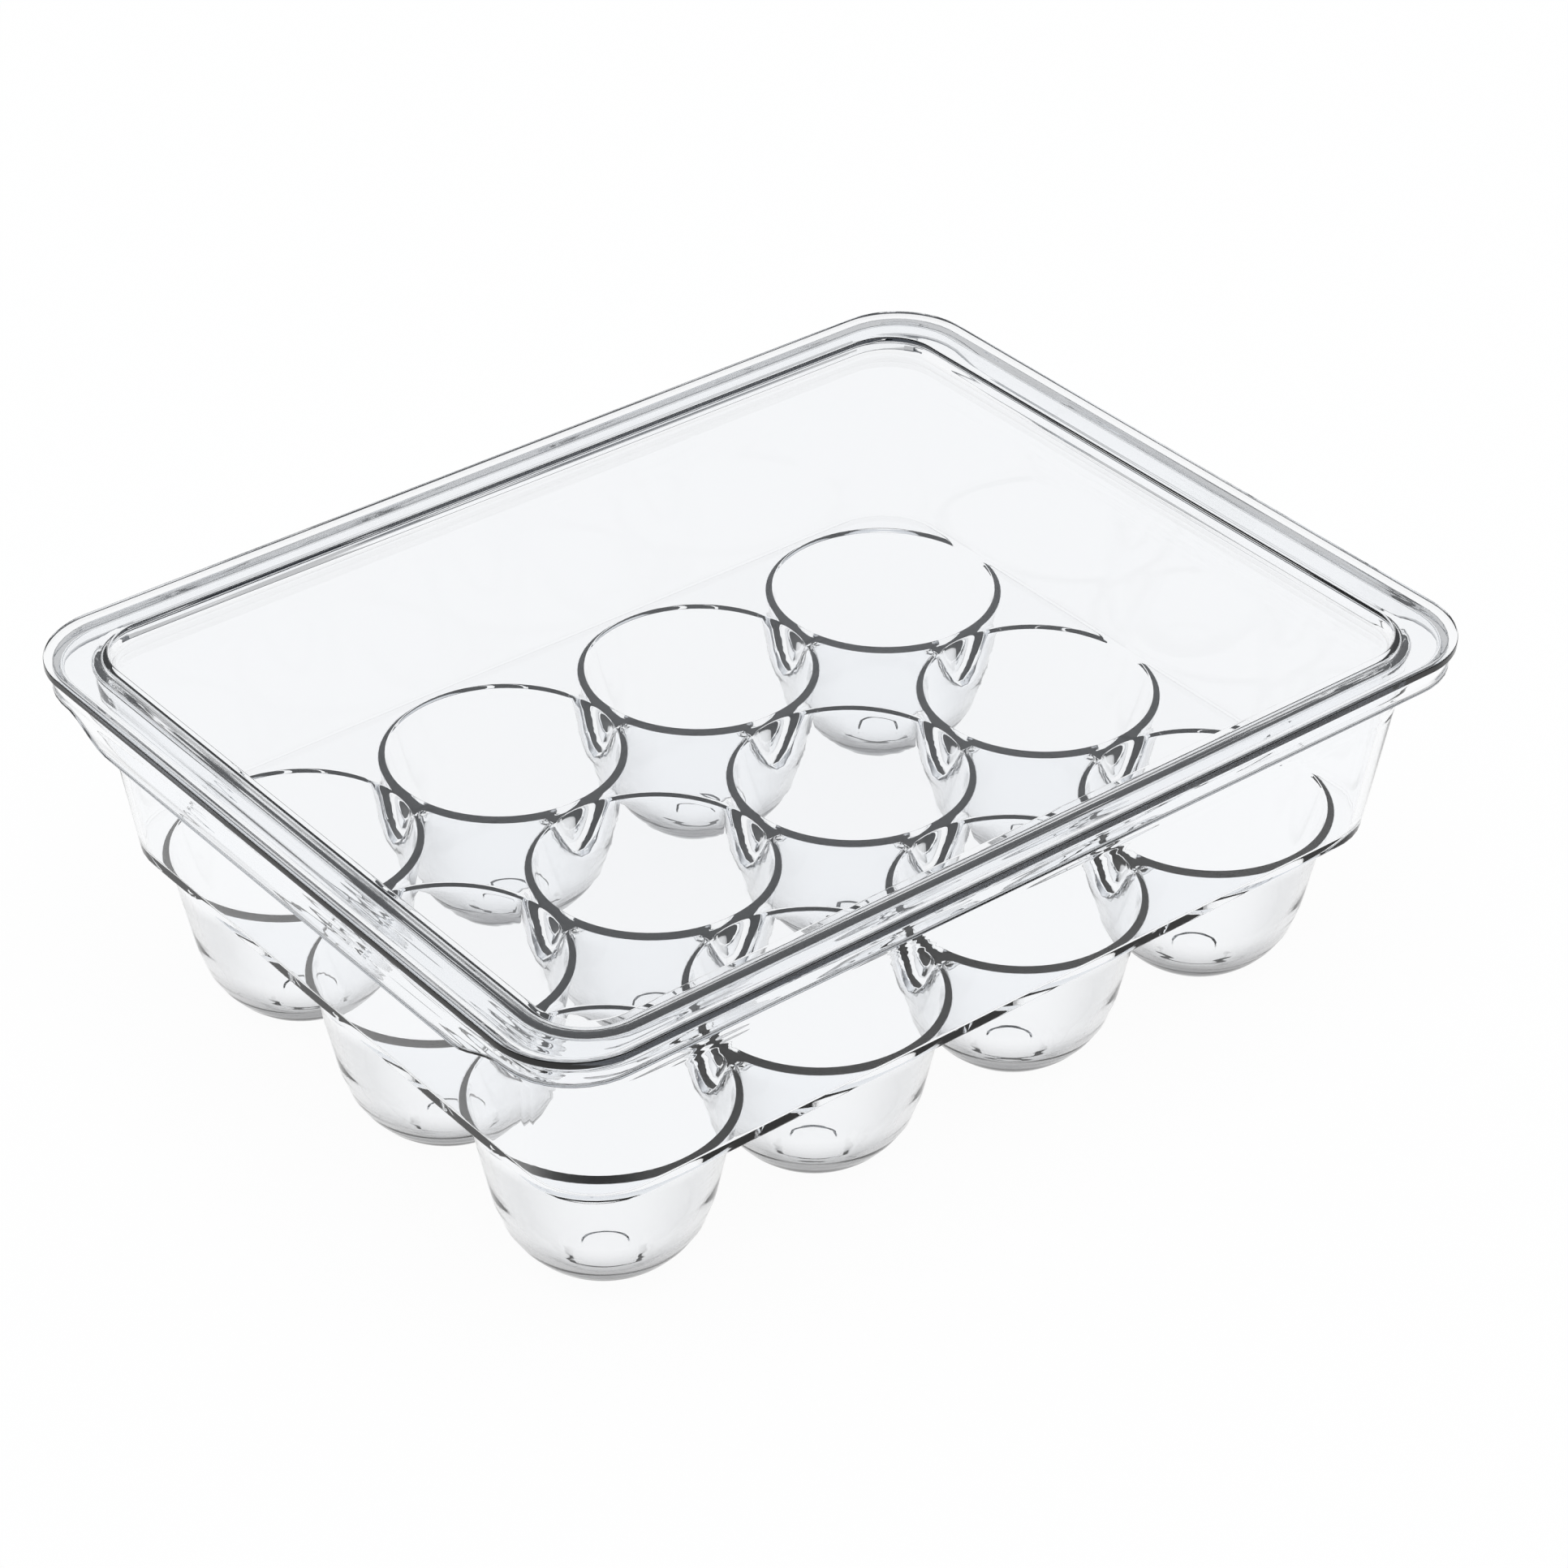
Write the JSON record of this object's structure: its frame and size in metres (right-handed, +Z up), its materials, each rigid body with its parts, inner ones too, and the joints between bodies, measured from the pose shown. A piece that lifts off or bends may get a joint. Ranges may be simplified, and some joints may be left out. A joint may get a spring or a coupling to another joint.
{
  "type": "egg keeper with lid",
  "caption": "Clear stackable refrigerator egg keeper: a tray with round egg cups in its deck, finger grips at both ends and a lift-off lid with a recessed panel.",
  "frame": {"origin": "centre of the footprint, on the surface the egg cups' feet stand on", "axes": "+X along the long side with four cups, +Y along the short side with three cups, +Z up through the lid"},
  "size_m": [0.225, 0.175, 0.08],
  "materials": {
    "clear_tray": "clear colourless injection-moulded plastic, polished",
    "clear_lid": "clear colourless injection-moulded plastic, polished"
  },
  "bodies": {
    "tray": {"egg_tray": "clear_tray"},
    "lid": {"lid": "clear_lid"}
  },
  "joints": [
    {"name": "lid_lift", "type": "slide", "parent": "tray", "child": "lid", "axis": [0, 0, 1], "range_m": [0, 0.1]}
  ]
}
